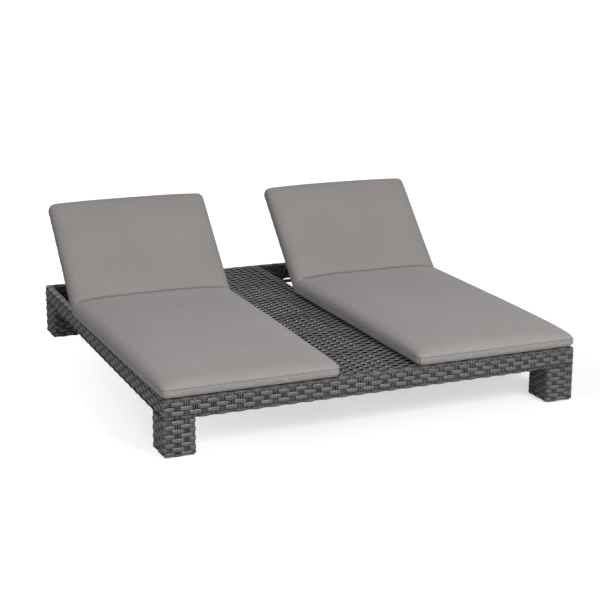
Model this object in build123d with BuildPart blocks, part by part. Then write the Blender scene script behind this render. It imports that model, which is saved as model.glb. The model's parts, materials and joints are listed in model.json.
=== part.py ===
from build123d import *
import math
import os

os.makedirs("parts", exist_ok=True)

# Driving dimensions, millimetres. X runs across, Y runs from the foot end to the head end, Z is up.
# The origin is on the floor at the centre of the base.

# Base
base_width = 1910
base_length = 2030
deck_height = 248
apron_height = 88
leg_width = 133
leg_depth = 156
leg_corner = 14
apron_corner = 6
table_width = 455
recess_gap = 8

# Woven skin over welded square tube
weave = 3
weave_fit = 0.5
tube = 25
tube_wall = 2

# Foot glides
glide_radius = 30
glide_height = 22
glide_rim = 2
glide_neck = 12
leg_lip = 28
leg_lift = 3

# Decks
slat_count = 6
slat_first = 33
rib_count = 5

# Recline hinge, its distance from the rear rail, and the swing that the racks allow
recess_length = 609
hinge_drop = 48
rest_angle = 46
upright_angle = 58
back_tail = 30
back_end_gap = 11
swing_gap = 1.4
pivot_bore = 5.1
pivot_gap = 0.1

# Hinge plates, lugs and their bolts
plate_thick = 5
plate_width = 70
plate_height = 64
plate_corner = 8
spacer_thick = 5
spacer_radius = 11
lug_thick = 6
lug_flange = 3
lug_radius = 15
lug_depth = 30
lug_heel = 44
bolt_head = 7
bolt_head_width = 17

# Prop bail, its foot and the racks it stands in
prop_inset = 30
prop_end_gap = 9
prop_bar = 8
prop_eye = 10
prop_eye_width = 17
prop_pin = 4
prop_pin_head = 6.5
prop_pin_cap = 3
foot_bar = 9
foot_sleeve = 12
foot_sleeve_length = 22
foot_gap = 4.5
rack_thick = 18
rack_margin = 12
notch_depth = 10
notch_count = 6
notch_ramp = 30
notch_fit = 0.3
tooth_gap = 0.5

# Screws
screw_radius = 2.5
screw_head = 4.5
screw_head_height = 2.5
screw_drop = 22
screw_fit = 0.2

# Cushions
cushion_lap = 44
cushion_outset = 11
cushion_height = 72
cushion_shoulder = 66
cushion_band = 38
cushion_corner = 24
cushion_tuck = 5
cushion_swell = 1
cushion_front = 3
cushion_overhang = 24
fold_radius = 14
soft_gap = 0.3
fold_gap = 0.4

# One overrun for every cut that runs past a face
overrun = 10

# Sizes that follow from the ones above
half = 2
x_out = base_width / half
y_out = base_length / half
skin = weave + weave_fit
rail_thick = tube + half * skin
apron_base = deck_height - apron_height
x_face = x_out - rail_thick
y_face = y_out - rail_thick
table_face = table_width / half
sheet_base = deck_height - weave
upper_tube = (sheet_base - weave_fit - tube, sheet_base - weave_fit)
lower_tube = (apron_base + skin, apron_base + skin + tube)
side_tube = (x_face + skin, x_out - skin)
end_tube = (y_face + skin, y_out - skin)
beam_tube = (table_face - skin - tube, table_face - skin)
beam_inner = table_face - rail_thick
leg_x = (x_out - leg_width, x_out)
leg_y = (y_out - leg_depth, y_out)
hinge_y = y_face - recess_length
hinge_z = deck_height - hinge_drop
back_reach = recess_length - back_end_gap
prop_reach = (recess_length - prop_end_gap - foot_sleeve) / half
prop_spread = (x_face - table_face) / half - rack_thick - prop_inset
cushion_head = recess_length + cushion_overhang
back_thick = rail_thick
back_top = hinge_drop
back_under = back_top - back_thick
deck_end = hinge_y - math.hypot(back_tail, back_top) - swing_gap
slat_last = deck_end - rail_thick / half
slat_start = -y_face + slat_first
slat_pitch = (slat_last - slat_start) / (slat_count - 1)
slat_rows = [slat_start + slat_pitch * row for row in range(slat_count)]
rib_pitch = half * y_face / (rib_count + 1)
rib_rows = [-y_face + rib_pitch * (row + 1) for row in range(rib_count)]
lounge_middle = (table_face + x_face) / half
foot_base = hinge_z - foot_sleeve
tooth_tip = foot_base - tooth_gap
sides = {"left": -1, "right": 1}
ends = {"front": -1, "rear": 1}


def foot_row(angle):
    """Gives where the prop's foot stands in Y for one recline angle."""
    return hinge_y + half * prop_reach * math.cos(math.radians(angle))


notch_pitch = (foot_row(rest_angle) - foot_row(upright_angle)) / half
notch_rows = [foot_row(upright_angle) + notch_pitch * row for row in range(notch_count)]
rack_rows = (notch_rows[0] - notch_ramp - rack_margin, y_face - weave_fit)
rack_screw_rows = [(notch_rows[row] + notch_rows[row + 1]) / half + rack_margin / half for row in (0, 3)]
rack_screw_level = (lower_tube[0] + tooth_tip - notch_depth) / half


def spread(span, side):
    """Mirrors a span to one side of the middle and puts its ends in order."""
    return tuple(sorted(side * value for value in span))


def middle(span):
    """Gives the middle of a span."""
    return sum(span) / len(span)


def shrink(span, amount):
    """Draws both ends of a span in."""
    return span[0] + amount, span[1] - amount


def block(x_span, y_span, z_span, mode=Mode.ADD):
    """Adds or cuts a box between three spans."""
    with BuildSketch(Plane.XY.offset(z_span[0])) as outline:
        with Locations((middle(x_span), middle(y_span))):
            Rectangle(x_span[1] - x_span[0], y_span[1] - y_span[0])
    extrude(outline.sketch, amount=z_span[1] - z_span[0], mode=mode)


def round_bar_x(x_span, y, z, radius, mode=Mode.ADD):
    """Adds or cuts a round bar that runs along X."""
    with BuildSketch(Plane.YZ.offset(x_span[0])) as disc:
        with Locations((y, z)):
            Circle(radius)
    extrude(disc.sketch, amount=x_span[1] - x_span[0], mode=mode)


def back_plane(x):
    """Gives the plane across X whose axes run along the backrest and out of its face."""
    tilt = math.radians(rest_angle)
    return Plane(
        origin=(x, hinge_y, hinge_z),
        x_dir=(0, math.cos(tilt), math.sin(tilt)),
        z_dir=(1, 0, 0),
    )


def prop_plane(x):
    """Gives the plane across X at the prop's pivot, with its first axis towards the foot."""
    tilt = math.radians(rest_angle)
    return Plane(
        origin=(x, hinge_y + prop_reach * math.cos(tilt), hinge_z + prop_reach * math.sin(tilt)),
        x_dir=(0, math.cos(tilt), -math.sin(tilt)),
        z_dir=(1, 0, 0),
    )


def back_block(x_span, u_span, v_span, mode=Mode.ADD):
    """Adds or cuts a box in the backrest's own directions."""
    with BuildSketch(back_plane(x_span[0])) as outline:
        with Locations((middle(u_span), middle(v_span))):
            Rectangle(u_span[1] - u_span[0], v_span[1] - v_span[0])
    extrude(outline.sketch, amount=x_span[1] - x_span[0], mode=mode)


def finish(piece, name):
    """Names one piece and writes its file."""
    piece.part.label = name
    export_step(piece.part, f"parts/{name}.step")


def hinge_screw_points():
    """Gives the heights of the two screws of each hinge plate."""
    return [hinge_z - screw_drop, hinge_z + screw_drop]


# Every tube of the welded base frame, sorted by its span in height
post_level = (glide_height, lower_tube[1])
cage_foot = (glide_height, glide_height + tube)
cage_head = (apron_base - weave - weave_fit - tube, apron_base - weave - weave_fit)
hinge_post = (lower_tube[0], upper_tube[1])
cage_posts = []
frame_runs = {upper_tube: [], lower_tube: [], post_level: [], cage_foot: [], cage_head: [], hinge_post: []}
for level in (upper_tube, lower_tube):
    for side in sides.values():
        for across in (side_tube, beam_tube):
            frame_runs[level].append((spread(across, side), (-end_tube[1], end_tube[1])))
    for end in ends.values():
        frame_runs[level].append(((-side_tube[1], side_tube[1]), spread(end_tube, end)))
for side in sides.values():
    for across in (side_tube, beam_tube):
        frame_runs[hinge_post].append((spread(across, side), (hinge_y - tube / half, hinge_y + tube / half)))
    for end in ends.values():
        cage_x = (leg_x[0] + skin, leg_x[0] + skin + tube)
        cage_y = (leg_y[0] + skin, leg_y[0] + skin + tube)
        for across, along in ((side_tube, end_tube), (side_tube, cage_y), (cage_x, end_tube)):
            cage_posts.append((spread(across, side), spread(along, end)))
        frame_runs[cage_foot].append((spread(cage_x, side), spread(cage_y, end)))
        for level in (cage_foot, cage_head):
            for across in (cage_x, side_tube):
                frame_runs[level].append((spread(across, side), spread((cage_y[0], end_tube[1]), end)))
            for along in (cage_y, end_tube):
                frame_runs[level].append((spread((cage_x[0], side_tube[1]), side), spread(along, end)))
        glide_bar = (middle(leg_y) - tube / half, middle(leg_y) + tube / half)
        frame_runs[cage_foot].append((spread((cage_x[0], side_tube[1]), side), spread(glide_bar, end)))
frame_runs[post_level] = cage_posts
inner_posts = (cage_foot[0], cage_head[1])
frame_runs[inner_posts] = [
    (spread((leg_x[0] + skin, leg_x[0] + skin + tube), side),
     spread((leg_y[0] + skin, leg_y[0] + skin + tube), end))
    for side in sides.values() for end in ends.values()
]


def tubes(level, runs, inset, mode=Mode.ADD):
    """Adds or cuts every tube that shares one span in height, drawn in by an inset."""
    low, high = shrink(level, inset)
    with BuildSketch(Plane.XY.offset(low)) as plan:
        for x_span, y_span in runs:
            near_x, far_x = shrink(x_span, inset)
            near_y, far_y = shrink(y_span, inset)
            with Locations(((near_x + far_x) / half, (near_y + far_y) / half)):
                Rectangle(far_x - near_x, far_y - near_y)
    extrude(plan.sketch, amount=high - low, mode=mode)


# Base frame: square tube welded into one cage, all of it inside the weave
with BuildPart() as base_frame:
    for level, runs in frame_runs.items():
        tubes(level, runs, 0)
    for level, runs in frame_runs.items():
        tubes(level, runs, tube_wall, Mode.SUBTRACT)
    for side in sides.values():
        for wall, inward in ((x_face, 1), (table_face, -1)):
            reach = spread((wall, wall + inward * (skin + tube_wall + overrun)), side)
            for level in hinge_screw_points():
                round_bar_x(reach, hinge_y, level, screw_radius + screw_fit, Mode.SUBTRACT)
            for row in rack_screw_rows:
                round_bar_x(reach, row, rack_screw_level, screw_radius + screw_fit, Mode.SUBTRACT)
    with BuildSketch(Plane.XY.offset(glide_height - overrun)) as neck_holes:
        with Locations([(side * middle(leg_x), end * middle(leg_y))
                        for side in sides.values() for end in ends.values()]):
            Circle(glide_neck / half + screw_fit)
    extrude(neck_holes.sketch, amount=overrun + tube_wall, mode=Mode.SUBTRACT)
finish(base_frame, "base_frame")


def post_windows(level):
    """Cuts the windows that the leg posts pass through the weave by."""
    with BuildSketch(Plane.XY.offset(level[0])) as windows:
        for x_span, y_span in cage_posts:
            with Locations((middle(x_span), middle(y_span))):
                Rectangle(tube + half * weave_fit, tube + half * weave_fit)
    extrude(windows.sketch, amount=level[1] - level[0], mode=Mode.SUBTRACT)


# Front and rear rails: a woven sleeve across the whole width, rounded at the two corners
for end_name, end in ends.items():
    with BuildPart() as end_rail:
        block((-x_out, x_out), spread((y_face, y_out), end), (apron_base, deck_height))
        outer_edges = end_rail.edges().filter_by(Axis.Z).sort_by(Axis.Y)
        fillet(outer_edges[:2] if end < 0 else outer_edges[-2:], leg_corner)
        fillet(end_rail.faces().sort_by(Axis.Z)[-1].edges().sort_by(Axis.Y)[0 if end < 0 else -1], apron_corner)
        block((-x_out + weave, x_out - weave), shrink(spread((y_face, y_out), end), weave),
              (apron_base + weave, deck_height - weave), Mode.SUBTRACT)
        inner_wall = spread((y_face - overrun, y_face + weave), end)
        for side in sides.values():
            for across in (side_tube, beam_tube):
                for level in (upper_tube, lower_tube):
                    block(shrink(spread(across, side), -weave_fit), inner_wall,
                          shrink(level, -weave_fit), Mode.SUBTRACT)
        post_windows((apron_base - overrun, apron_base + weave))
    finish(end_rail, f"{end_name}_rail_wicker")

# Side rails: the same sleeve, with windows for the deck slats and holes for the screws
for side_name, side in sides.items():
    with BuildPart() as side_rail:
        rail_run = y_face - weave_fit
        with BuildSketch(Plane.XZ.offset(-rail_run)) as rail_section:
            with Locations((side * (x_face + rail_thick / half), apron_base + apron_height / half)):
                RectangleRounded(rail_thick, apron_height, apron_corner)
                Rectangle(rail_thick - half * weave, apron_height - half * weave, mode=Mode.SUBTRACT)
        extrude(rail_section.sketch, amount=half * rail_run)
        wall_cut = spread((x_face - overrun, x_face + weave), side)
        for row in slat_rows:
            slat_span = (row - tube / half, row + tube / half)
            block(wall_cut, shrink(slat_span, -weave_fit), shrink(upper_tube, -weave_fit), Mode.SUBTRACT)
        for level in hinge_screw_points():
            round_bar_x(wall_cut, hinge_y, level, screw_radius + screw_fit, Mode.SUBTRACT)
        for row in rack_screw_rows:
            round_bar_x(wall_cut, row, rack_screw_level, screw_radius + screw_fit, Mode.SUBTRACT)
        post_windows((apron_base - overrun, apron_base + weave))
    finish(side_rail, f"{side_name}_rail_wicker")

# Legs: woven boxes round the frame's cages, open underneath where the glides come out
for end_name, end in ends.items():
    for side_name, side in sides.items():
        with BuildPart() as leg:
            block(spread(leg_x, side), spread(leg_y, end), (leg_lift, apron_base))
            corner = (side * x_out, end * y_out, leg_lift)
            outer_edge = leg.edges().filter_by(Axis.Z).sort_by_distance(corner)[0]
            inner_edge = leg.edges().filter_by(Axis.Z).sort_by_distance((0, 0, leg_lift))[0]
            fillet([outer_edge, inner_edge], leg_corner)
            fillet(leg.faces().sort_by(Axis.Z)[0].edges(), leg_corner)
            block(shrink(spread(leg_x, side), weave), shrink(spread(leg_y, end), weave),
                  (leg_lift + leg_corner, apron_base - weave), Mode.SUBTRACT)
            block(shrink(spread(leg_x, side), leg_lip), shrink(spread(leg_y, end), leg_lip),
                  (leg_lift - overrun, leg_lift + leg_corner + overrun), Mode.SUBTRACT)
            post_windows((apron_base - weave, apron_base + overrun))
        finish(leg, f"{end_name}_{side_name}_leg_wicker")

# Foot glides: one turned pad under each leg, its neck pushed into the frame
with BuildPart() as glides:
    for side in sides.values():
        for end in ends.values():
            spot = (side * middle(leg_x), end * middle(leg_y))
            with BuildSketch() as pad:
                with Locations(spot):
                    Circle(glide_radius - glide_rim)
            extrude(pad.sketch, amount=glide_rim)
            with BuildSketch(Plane.XY.offset(glide_rim)) as body:
                with Locations(spot):
                    Circle(glide_radius)
            extrude(body.sketch, amount=glide_height - glide_rim)
            with BuildSketch(Plane.XY.offset(glide_height)) as neck:
                with Locations(spot):
                    Circle(glide_neck / half)
            extrude(neck.sketch, amount=tube_wall)
finish(glides, "foot_glides")

# Table: two woven beam sleeves and the woven top that lies over them
for side_name, side in sides.items():
    with BuildPart() as beam:
        with BuildSketch(Plane.XZ.offset(-y_face + weave_fit)) as beam_section:
            with BuildLine():
                left, right = spread((beam_inner, table_face), side)
                Polyline((left, sheet_base - weave_fit), (left, apron_base), (right, apron_base),
                         (right, sheet_base - weave_fit), close=True)
            make_face()
            fillet(beam_section.vertices().group_by(Axis.Z)[0], apron_corner)
            with Locations(((left + right) / half, apron_base + apron_height / half + weave)):
                Rectangle(rail_thick - half * weave, apron_height, mode=Mode.SUBTRACT)
        extrude(beam_section.sketch, amount=half * (y_face - weave_fit))
        outer_wall = spread((table_face - weave, table_face + overrun), side)
        inner_wall = spread((beam_inner - overrun, beam_inner + weave), side)
        for rows, wall in ((slat_rows, outer_wall), (rib_rows, inner_wall)):
            for row in rows:
                row_span = (row - tube / half, row + tube / half)
                block(wall, shrink(row_span, -weave_fit), (upper_tube[0] - weave_fit, deck_height), Mode.SUBTRACT)
        for level in hinge_screw_points():
            round_bar_x(outer_wall, hinge_y, level, screw_radius + screw_fit, Mode.SUBTRACT)
        for row in rack_screw_rows:
            round_bar_x(outer_wall, row, rack_screw_level, screw_radius + screw_fit, Mode.SUBTRACT)
    finish(beam, f"{side_name}_table_beam_wicker")

with BuildPart() as table_top:
    block((-table_face, table_face), shrink((-y_face, y_face), weave_fit), (sheet_base, deck_height))
finish(table_top, "table_top_wicker")

with BuildPart() as table_ribs:
    with BuildSketch(Plane.YZ.offset(-beam_tube[0])) as rib_sections:
        with Locations([(row, middle(upper_tube)) for row in rib_rows]):
            Rectangle(tube, tube)
            Rectangle(tube - half * tube_wall, tube - half * tube_wall, mode=Mode.SUBTRACT)
    extrude(rib_sections.sketch, amount=half * beam_tube[0])
finish(table_ribs, "table_ribs")

# Decks: a woven sheet on square slats, and a wrapped rail at the edge of the recess
for side_name, side in sides.items():
    deck_span = spread((table_face, x_face), side)
    with BuildPart() as deck:
        block(shrink(deck_span, weave_fit), (-y_face + weave_fit, deck_end - rail_thick - weave_fit),
              (sheet_base, deck_height))
    finish(deck, f"{side_name}_seat_deck_wicker")

    with BuildPart() as slats:
        slat_span = spread((beam_tube[1], side_tube[0]), side)
        with BuildSketch(Plane.YZ.offset(slat_span[0])) as slat_sections:
            with Locations([(row, middle(upper_tube)) for row in slat_rows]):
                Rectangle(tube, tube)
                Rectangle(tube - half * tube_wall, tube - half * tube_wall, mode=Mode.SUBTRACT)
        extrude(slat_sections.sketch, amount=slat_span[1] - slat_span[0])
    finish(slats, f"{side_name}_deck_slats")

    with BuildPart() as deck_rail:
        wrap_span = shrink(deck_span, weave_fit)
        with BuildSketch(Plane.YZ.offset(wrap_span[0])) as wrap_section:
            with Locations((slat_last, deck_height - rail_thick / half)):
                RectangleRounded(rail_thick, rail_thick, apron_corner)
                Rectangle(rail_thick - half * weave, rail_thick - half * weave, mode=Mode.SUBTRACT)
        extrude(wrap_section.sketch, amount=wrap_span[1] - wrap_span[0])
    finish(deck_rail, f"{side_name}_deck_rail_wicker")


def cushion_edge(outer, inward):
    """Gives the points up one side of a cushion: band foot, bulge, band top, shoulder middle, shoulder."""
    foot = outer + inward * cushion_tuck
    rounding = math.sqrt(half) / half
    shoulder = foot + inward * cushion_corner
    bend = (foot + inward * cushion_corner * (1 - rounding),
            cushion_band + (cushion_shoulder - cushion_band) * rounding)
    return ((foot, 0), (outer, cushion_band / half), (foot, cushion_band), bend, (shoulder, cushion_shoulder))


def cushion_across(plane, x_span):
    """Draws a cushion's section across its width, from its flat bottom."""
    with BuildSketch(plane) as section:
        with BuildLine():
            near = cushion_edge(x_span[0], 1)
            far = cushion_edge(x_span[1], -1)
            ThreePointArc(near[0], near[1], near[2])
            ThreePointArc(near[2], near[3], near[4])
            ThreePointArc(near[4], (middle(x_span), cushion_height), far[4])
            ThreePointArc(far[4], far[3], far[2])
            ThreePointArc(far[2], far[1], far[0])
            Line(far[0], near[0])
        make_face()
    return section.sketch


def cushion_along(plane, outer, inward, fold_foot, fold_top):
    """Draws a cushion's section along its length, from the rounded end to the bevelled fold."""
    with BuildSketch(plane) as section:
        with BuildLine():
            edge = cushion_edge(outer, inward)
            ThreePointArc(edge[0], edge[1], edge[2])
            ThreePointArc(edge[2], edge[3], edge[4])
            rise = ((edge[4][0] + fold_top) / half, cushion_height + cushion_swell)
            ThreePointArc(edge[4], rise, (fold_top, cushion_shoulder))
            Polyline((fold_top, cushion_shoulder), (fold_foot, 0), (fold_foot, -overrun),
                     (edge[0][0], -overrun), edge[0])
        make_face()
        nose = section.vertices().sort_by_distance((fold_top, cushion_shoulder))[0]
        fillet(nose, fold_radius)
    return section.sketch


# Where the two cushions meet: the seat's end lies along the upright back, the back's along the deck
upright = math.radians(upright_angle)
cushion_foot = hinge_drop + soft_gap
cushion_face = cushion_foot + cushion_height


def seat_fold(height):
    """Gives the seat cushion's end in Y at a height over the hinge."""
    return hinge_y - (cushion_face + fold_gap - height * math.cos(upright)) / math.sin(upright)


def back_fold(height):
    """Gives the back cushion's lower end along the backrest at a height over the hinge."""
    return (cushion_foot - height * math.cos(upright)) / math.sin(upright)


shoulder_height = cushion_foot + cushion_shoulder

for side_name, side in sides.items():
    cushion_span = spread((table_face - cushion_lap, x_out + cushion_outset), side)
    cushion_width = cushion_span[1] - cushion_span[0]

    # Seat cushion: boxed and crowned, its rear end bevelled for the fold
    with BuildPart() as seat_cushion:
        low = deck_height + soft_gap
        across = Plane(origin=(0, -y_out, low), x_dir=(1, 0, 0), z_dir=(0, -1, 0))
        extrude(cushion_across(across, cushion_span), amount=-half * base_length)
        along = Plane(origin=(cushion_span[0] - overrun, 0, low), x_dir=(0, 1, 0), z_dir=(1, 0, 0))
        extrude(cushion_along(along, -y_out + cushion_front, 1, seat_fold(cushion_foot), seat_fold(shoulder_height)),
                amount=cushion_width + half * overrun, mode=Mode.INTERSECT)
    finish(seat_cushion, f"{side_name}_seat_cushion")

    # Backrest: a welded frame inside a skin that is woven over both faces
    back_span = spread((table_face + recess_gap, x_face - recess_gap), side)
    frame_x = shrink(back_span, skin)
    frame_u = shrink((-back_tail, back_reach), skin)
    frame_v = shrink((back_under, back_top), skin)
    back_runs = [
        ((frame_x[0], frame_x[0] + tube), frame_u),
        ((frame_x[1] - tube, frame_x[1]), frame_u),
        (frame_x, (frame_u[0], frame_u[0] + tube)),
        (frame_x, (frame_u[1] - tube, frame_u[1])),
        (frame_x, (prop_reach - tube / half, prop_reach + tube / half)),
    ]
    with BuildPart() as back_frame:
        for run_x, run_u in back_runs:
            back_block(run_x, run_u, frame_v)
        for run_x, run_u in back_runs:
            back_block(shrink(run_x, tube_wall), shrink(run_u, tube_wall), shrink(frame_v, tube_wall), Mode.SUBTRACT)
    finish(back_frame, f"{side_name}_back_frame")

    with BuildPart() as back_skin:
        back_block(back_span, (-back_tail, back_reach), (back_under, back_top))
        fillet(back_skin.edges(), apron_corner)
        back_block(shrink(back_span, weave), shrink((-back_tail, back_reach), weave),
                   shrink((back_under, back_top), weave), Mode.SUBTRACT)
    finish(back_skin, f"{side_name}_back_wicker")

    # Back cushion: the same box, drawn flat from the hinge and turned up with the backrest
    with BuildPart() as flat_cushion:
        across = Plane(origin=(0, -base_length, 0), x_dir=(1, 0, 0), z_dir=(0, -1, 0))
        extrude(cushion_across(across, cushion_span), amount=-half * base_length)
        along = Plane(origin=(cushion_span[0] - overrun, 0, 0), x_dir=(0, 1, 0), z_dir=(1, 0, 0))
        extrude(cushion_along(along, cushion_head, -1, back_fold(cushion_foot), back_fold(shoulder_height)),
                amount=cushion_width + half * overrun, mode=Mode.INTERSECT)
    with BuildPart() as back_cushion:
        tilt = math.radians(rest_angle)
        seat = (0, hinge_y - cushion_foot * math.sin(tilt), hinge_z + cushion_foot * math.cos(tilt))
        add(flat_cushion.part.moved(Location(seat, (rest_angle, 0, 0))))
    finish(back_cushion, f"{side_name}_back_cushion")

    # Hinge: a plate on each wall of the recess, and a lug under each edge of the backrest
    spacer_spans = []
    bolt_spans = []
    for wall_name, wall, inward in (("outer", x_face, -1), ("inner", table_face, 1)):
        plate_span = spread((wall, wall + inward * plate_thick), side)
        lug_face = wall + inward * (plate_thick + spacer_thick)
        spacer_spans.append(spread((wall + inward * plate_thick, lug_face), side))
        lug_span = spread((lug_face, lug_face + inward * lug_thick), side)
        flange_span = spread((lug_face, lug_face + inward * lug_depth), side)
        bolt_spans.append((
            spread((wall, lug_face + inward * (lug_thick + pivot_gap)), side),
            spread((lug_face + inward * (lug_thick + pivot_gap),
                    lug_face + inward * (lug_thick + pivot_gap + bolt_head)), side),
        ))

        with BuildPart() as hinge_plate:
            with BuildSketch(Plane.YZ.offset(plate_span[0])) as plate_outline:
                with Locations((hinge_y, hinge_z)):
                    RectangleRounded(plate_width, plate_height, plate_corner)
                    Circle(pivot_bore, mode=Mode.SUBTRACT)
                with Locations([(hinge_y, level) for level in hinge_screw_points()]):
                    Circle(screw_radius + screw_fit, mode=Mode.SUBTRACT)
            extrude(plate_outline.sketch, amount=plate_thick)
        finish(hinge_plate, f"{side_name}_{wall_name}_hinge_plate")

        with BuildPart() as hinge_lug:
            with BuildSketch(back_plane(lug_span[0])) as lug_outline:
                Circle(lug_radius)
                with Locations(((lug_heel - lug_radius) / half, (back_under - lug_flange) / half)):
                    Rectangle(lug_heel + lug_radius, back_under - lug_flange)
                Circle(pivot_bore, mode=Mode.SUBTRACT)
            extrude(lug_outline.sketch, amount=lug_thick)
            back_block(flange_span, (-lug_radius, lug_heel), (back_under - lug_flange, back_under))
        finish(hinge_lug, f"{side_name}_{wall_name}_hinge_lug")

        # Rack: a notched bar that the prop's foot stands in
        with BuildPart() as rack:
            rack_span = spread((wall, wall + inward * rack_thick), side)
            with BuildSketch(Plane.YZ.offset(rack_span[0])) as rack_outline:
                with Locations((middle(rack_rows), middle((lower_tube[0], tooth_tip)))):
                    Rectangle(rack_rows[1] - rack_rows[0], tooth_tip - lower_tube[0])
                for row in notch_rows:
                    with Locations((row, hinge_z - notch_depth)):
                        Circle(foot_sleeve + notch_fit, mode=Mode.SUBTRACT)
                    with BuildLine(mode=Mode.PRIVATE) as ramp_line:
                        seat_level = hinge_z - notch_depth - foot_sleeve - notch_fit
                        Polyline((row, seat_level), (row - notch_ramp, tooth_tip), (row - notch_ramp, hinge_z),
                                 (row, hinge_z), close=True)
                    make_face(ramp_line.edges(), mode=Mode.SUBTRACT)
                with Locations([(row, rack_screw_level) for row in rack_screw_rows]):
                    Circle(screw_radius + screw_fit, mode=Mode.SUBTRACT)
            extrude(rack_outline.sketch, amount=rack_thick)
        finish(rack, f"{side_name}_{wall_name}_rack")

    # Pivot bolts and the spacers behind them
    with BuildPart() as hinge_bolts:
        for shank, head in bolt_spans:
            round_bar_x(shank, hinge_y, hinge_z, pivot_bore - pivot_gap)
            with BuildSketch(Plane.YZ.offset(head[0])) as hexagon:
                with Locations((hinge_y, hinge_z)):
                    RegularPolygon(bolt_head_width / half, 6, major_radius=False)
            extrude(hexagon.sketch, amount=bolt_head)
    finish(hinge_bolts, f"{side_name}_hinge_bolts")

    with BuildPart() as spacers:
        for span in spacer_spans:
            round_bar_x(shrink(span, pivot_gap), hinge_y, hinge_z, spacer_radius)
            round_bar_x(span, hinge_y, hinge_z, pivot_bore, Mode.SUBTRACT)
    finish(spacers, f"{side_name}_hinge_spacers")

    # Prop: two arms on pins under the backrest, and a foot bar across them
    tilt = math.radians(rest_angle)
    foot_y = foot_row(rest_angle)
    pin_spans = []
    for arm_name, outward in (("outer", 1), ("inner", -1)):
        arm_x = side * (lounge_middle + outward * prop_spread)
        eye_span = (arm_x - prop_eye_width / half, arm_x + prop_eye_width / half)
        with BuildPart() as prop_arm:
            with BuildSketch(prop_plane(eye_span[0])) as eye:
                Circle(prop_eye)
            extrude(eye.sketch, amount=prop_eye_width)
            with BuildSketch(Plane(origin=prop_plane(arm_x).origin, x_dir=(1, 0, 0),
                                   z_dir=(0, math.cos(tilt), -math.sin(tilt)))) as arm_section:
                Circle(prop_bar)
            extrude(arm_section.sketch, amount=prop_reach)
            with BuildSketch(prop_plane(eye_span[0] - overrun)) as eye_hole:
                Circle(prop_pin + pivot_gap)
            extrude(eye_hole.sketch, amount=prop_eye_width + half * overrun, mode=Mode.SUBTRACT)
            round_bar_x((arm_x - overrun, arm_x + overrun), foot_y, hinge_z, foot_bar, Mode.SUBTRACT)
        finish(prop_arm, f"{side_name}_{arm_name}_prop_arm")

        # Prop lug: a folded bracket beside the arm's eye, with the pin through both
        toward = side * outward
        lug_near = arm_x + toward * (prop_eye_width / half + pivot_gap)
        lug_span = tuple(sorted((lug_near, lug_near + toward * lug_thick)))
        flange_span = tuple(sorted((lug_near + toward * lug_thick, arm_x - toward * prop_eye_width)))
        with BuildPart() as prop_lug:
            with BuildSketch(back_plane(lug_span[0])) as lug_outline:
                with Locations((prop_reach, 0)):
                    Circle(lug_radius)
                with Locations((prop_reach, (back_under - lug_flange) / half)):
                    Rectangle(half * lug_radius, back_under - lug_flange)
                with Locations((prop_reach, 0)):
                    Circle(prop_pin, mode=Mode.SUBTRACT)
            extrude(lug_outline.sketch, amount=lug_thick)
            back_block(flange_span, (prop_reach - lug_radius, prop_reach + lug_radius),
                       (back_under - lug_flange, back_under))
        finish(prop_lug, f"{side_name}_{arm_name}_prop_lug")
        pin_near = arm_x - toward * (prop_eye_width / half + pivot_gap)
        pin_spans.append((
            tuple(sorted((pin_near, lug_near + toward * lug_thick))),
            tuple(sorted((pin_near, pin_near - toward * prop_pin_cap))),
        ))

    with BuildPart() as prop_pins:
        for shank, cap in pin_spans:
            for span, radius in ((shank, prop_pin), (cap, prop_pin_head)):
                with BuildSketch(prop_plane(span[0])) as disc:
                    Circle(radius)
                extrude(disc.sketch, amount=span[1] - span[0])
    finish(prop_pins, f"{side_name}_prop_pins")

    bar_span = shrink(spread((table_face, x_face), side), foot_gap)
    with BuildPart() as foot:
        round_bar_x(bar_span, foot_y, hinge_z, foot_bar)
        round_bar_x(bar_span, foot_y, hinge_z, foot_bar - tube_wall, Mode.SUBTRACT)
    finish(foot, f"{side_name}_prop_foot")

    with BuildPart() as sleeves:
        for span in ((bar_span[0], bar_span[0] + foot_sleeve_length),
                     (bar_span[1] - foot_sleeve_length, bar_span[1])):
            round_bar_x(span, foot_y, hinge_z, foot_sleeve)
        round_bar_x(bar_span, foot_y, hinge_z, foot_bar, Mode.SUBTRACT)
    finish(sleeves, f"{side_name}_prop_sleeves")


# Screws of the hinge plates and of the racks
def screws(levels_and_depths):
    """Adds a round-headed screw at each row and height on the four walls of the recesses."""
    for row, level, seat in levels_and_depths:
        for side in sides.values():
            for wall, inward in ((x_face, -1), (table_face, 1)):
                shank = spread((wall - inward * (skin + tube_wall), wall + inward * seat), side)
                head = spread((wall + inward * seat, wall + inward * (seat + screw_head_height)), side)
                round_bar_x(shank, row, level, screw_radius)
                round_bar_x(head, row, level, screw_head)


with BuildPart() as hinge_screws:
    screws([(hinge_y, level, plate_thick) for level in hinge_screw_points()])
finish(hinge_screws, "hinge_screws")

with BuildPart() as rack_screws:
    screws([(row, rack_screw_level, rack_thick) for row in rack_screw_rows])
finish(rack_screws, "rack_screws")
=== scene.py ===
import json
import math

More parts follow.
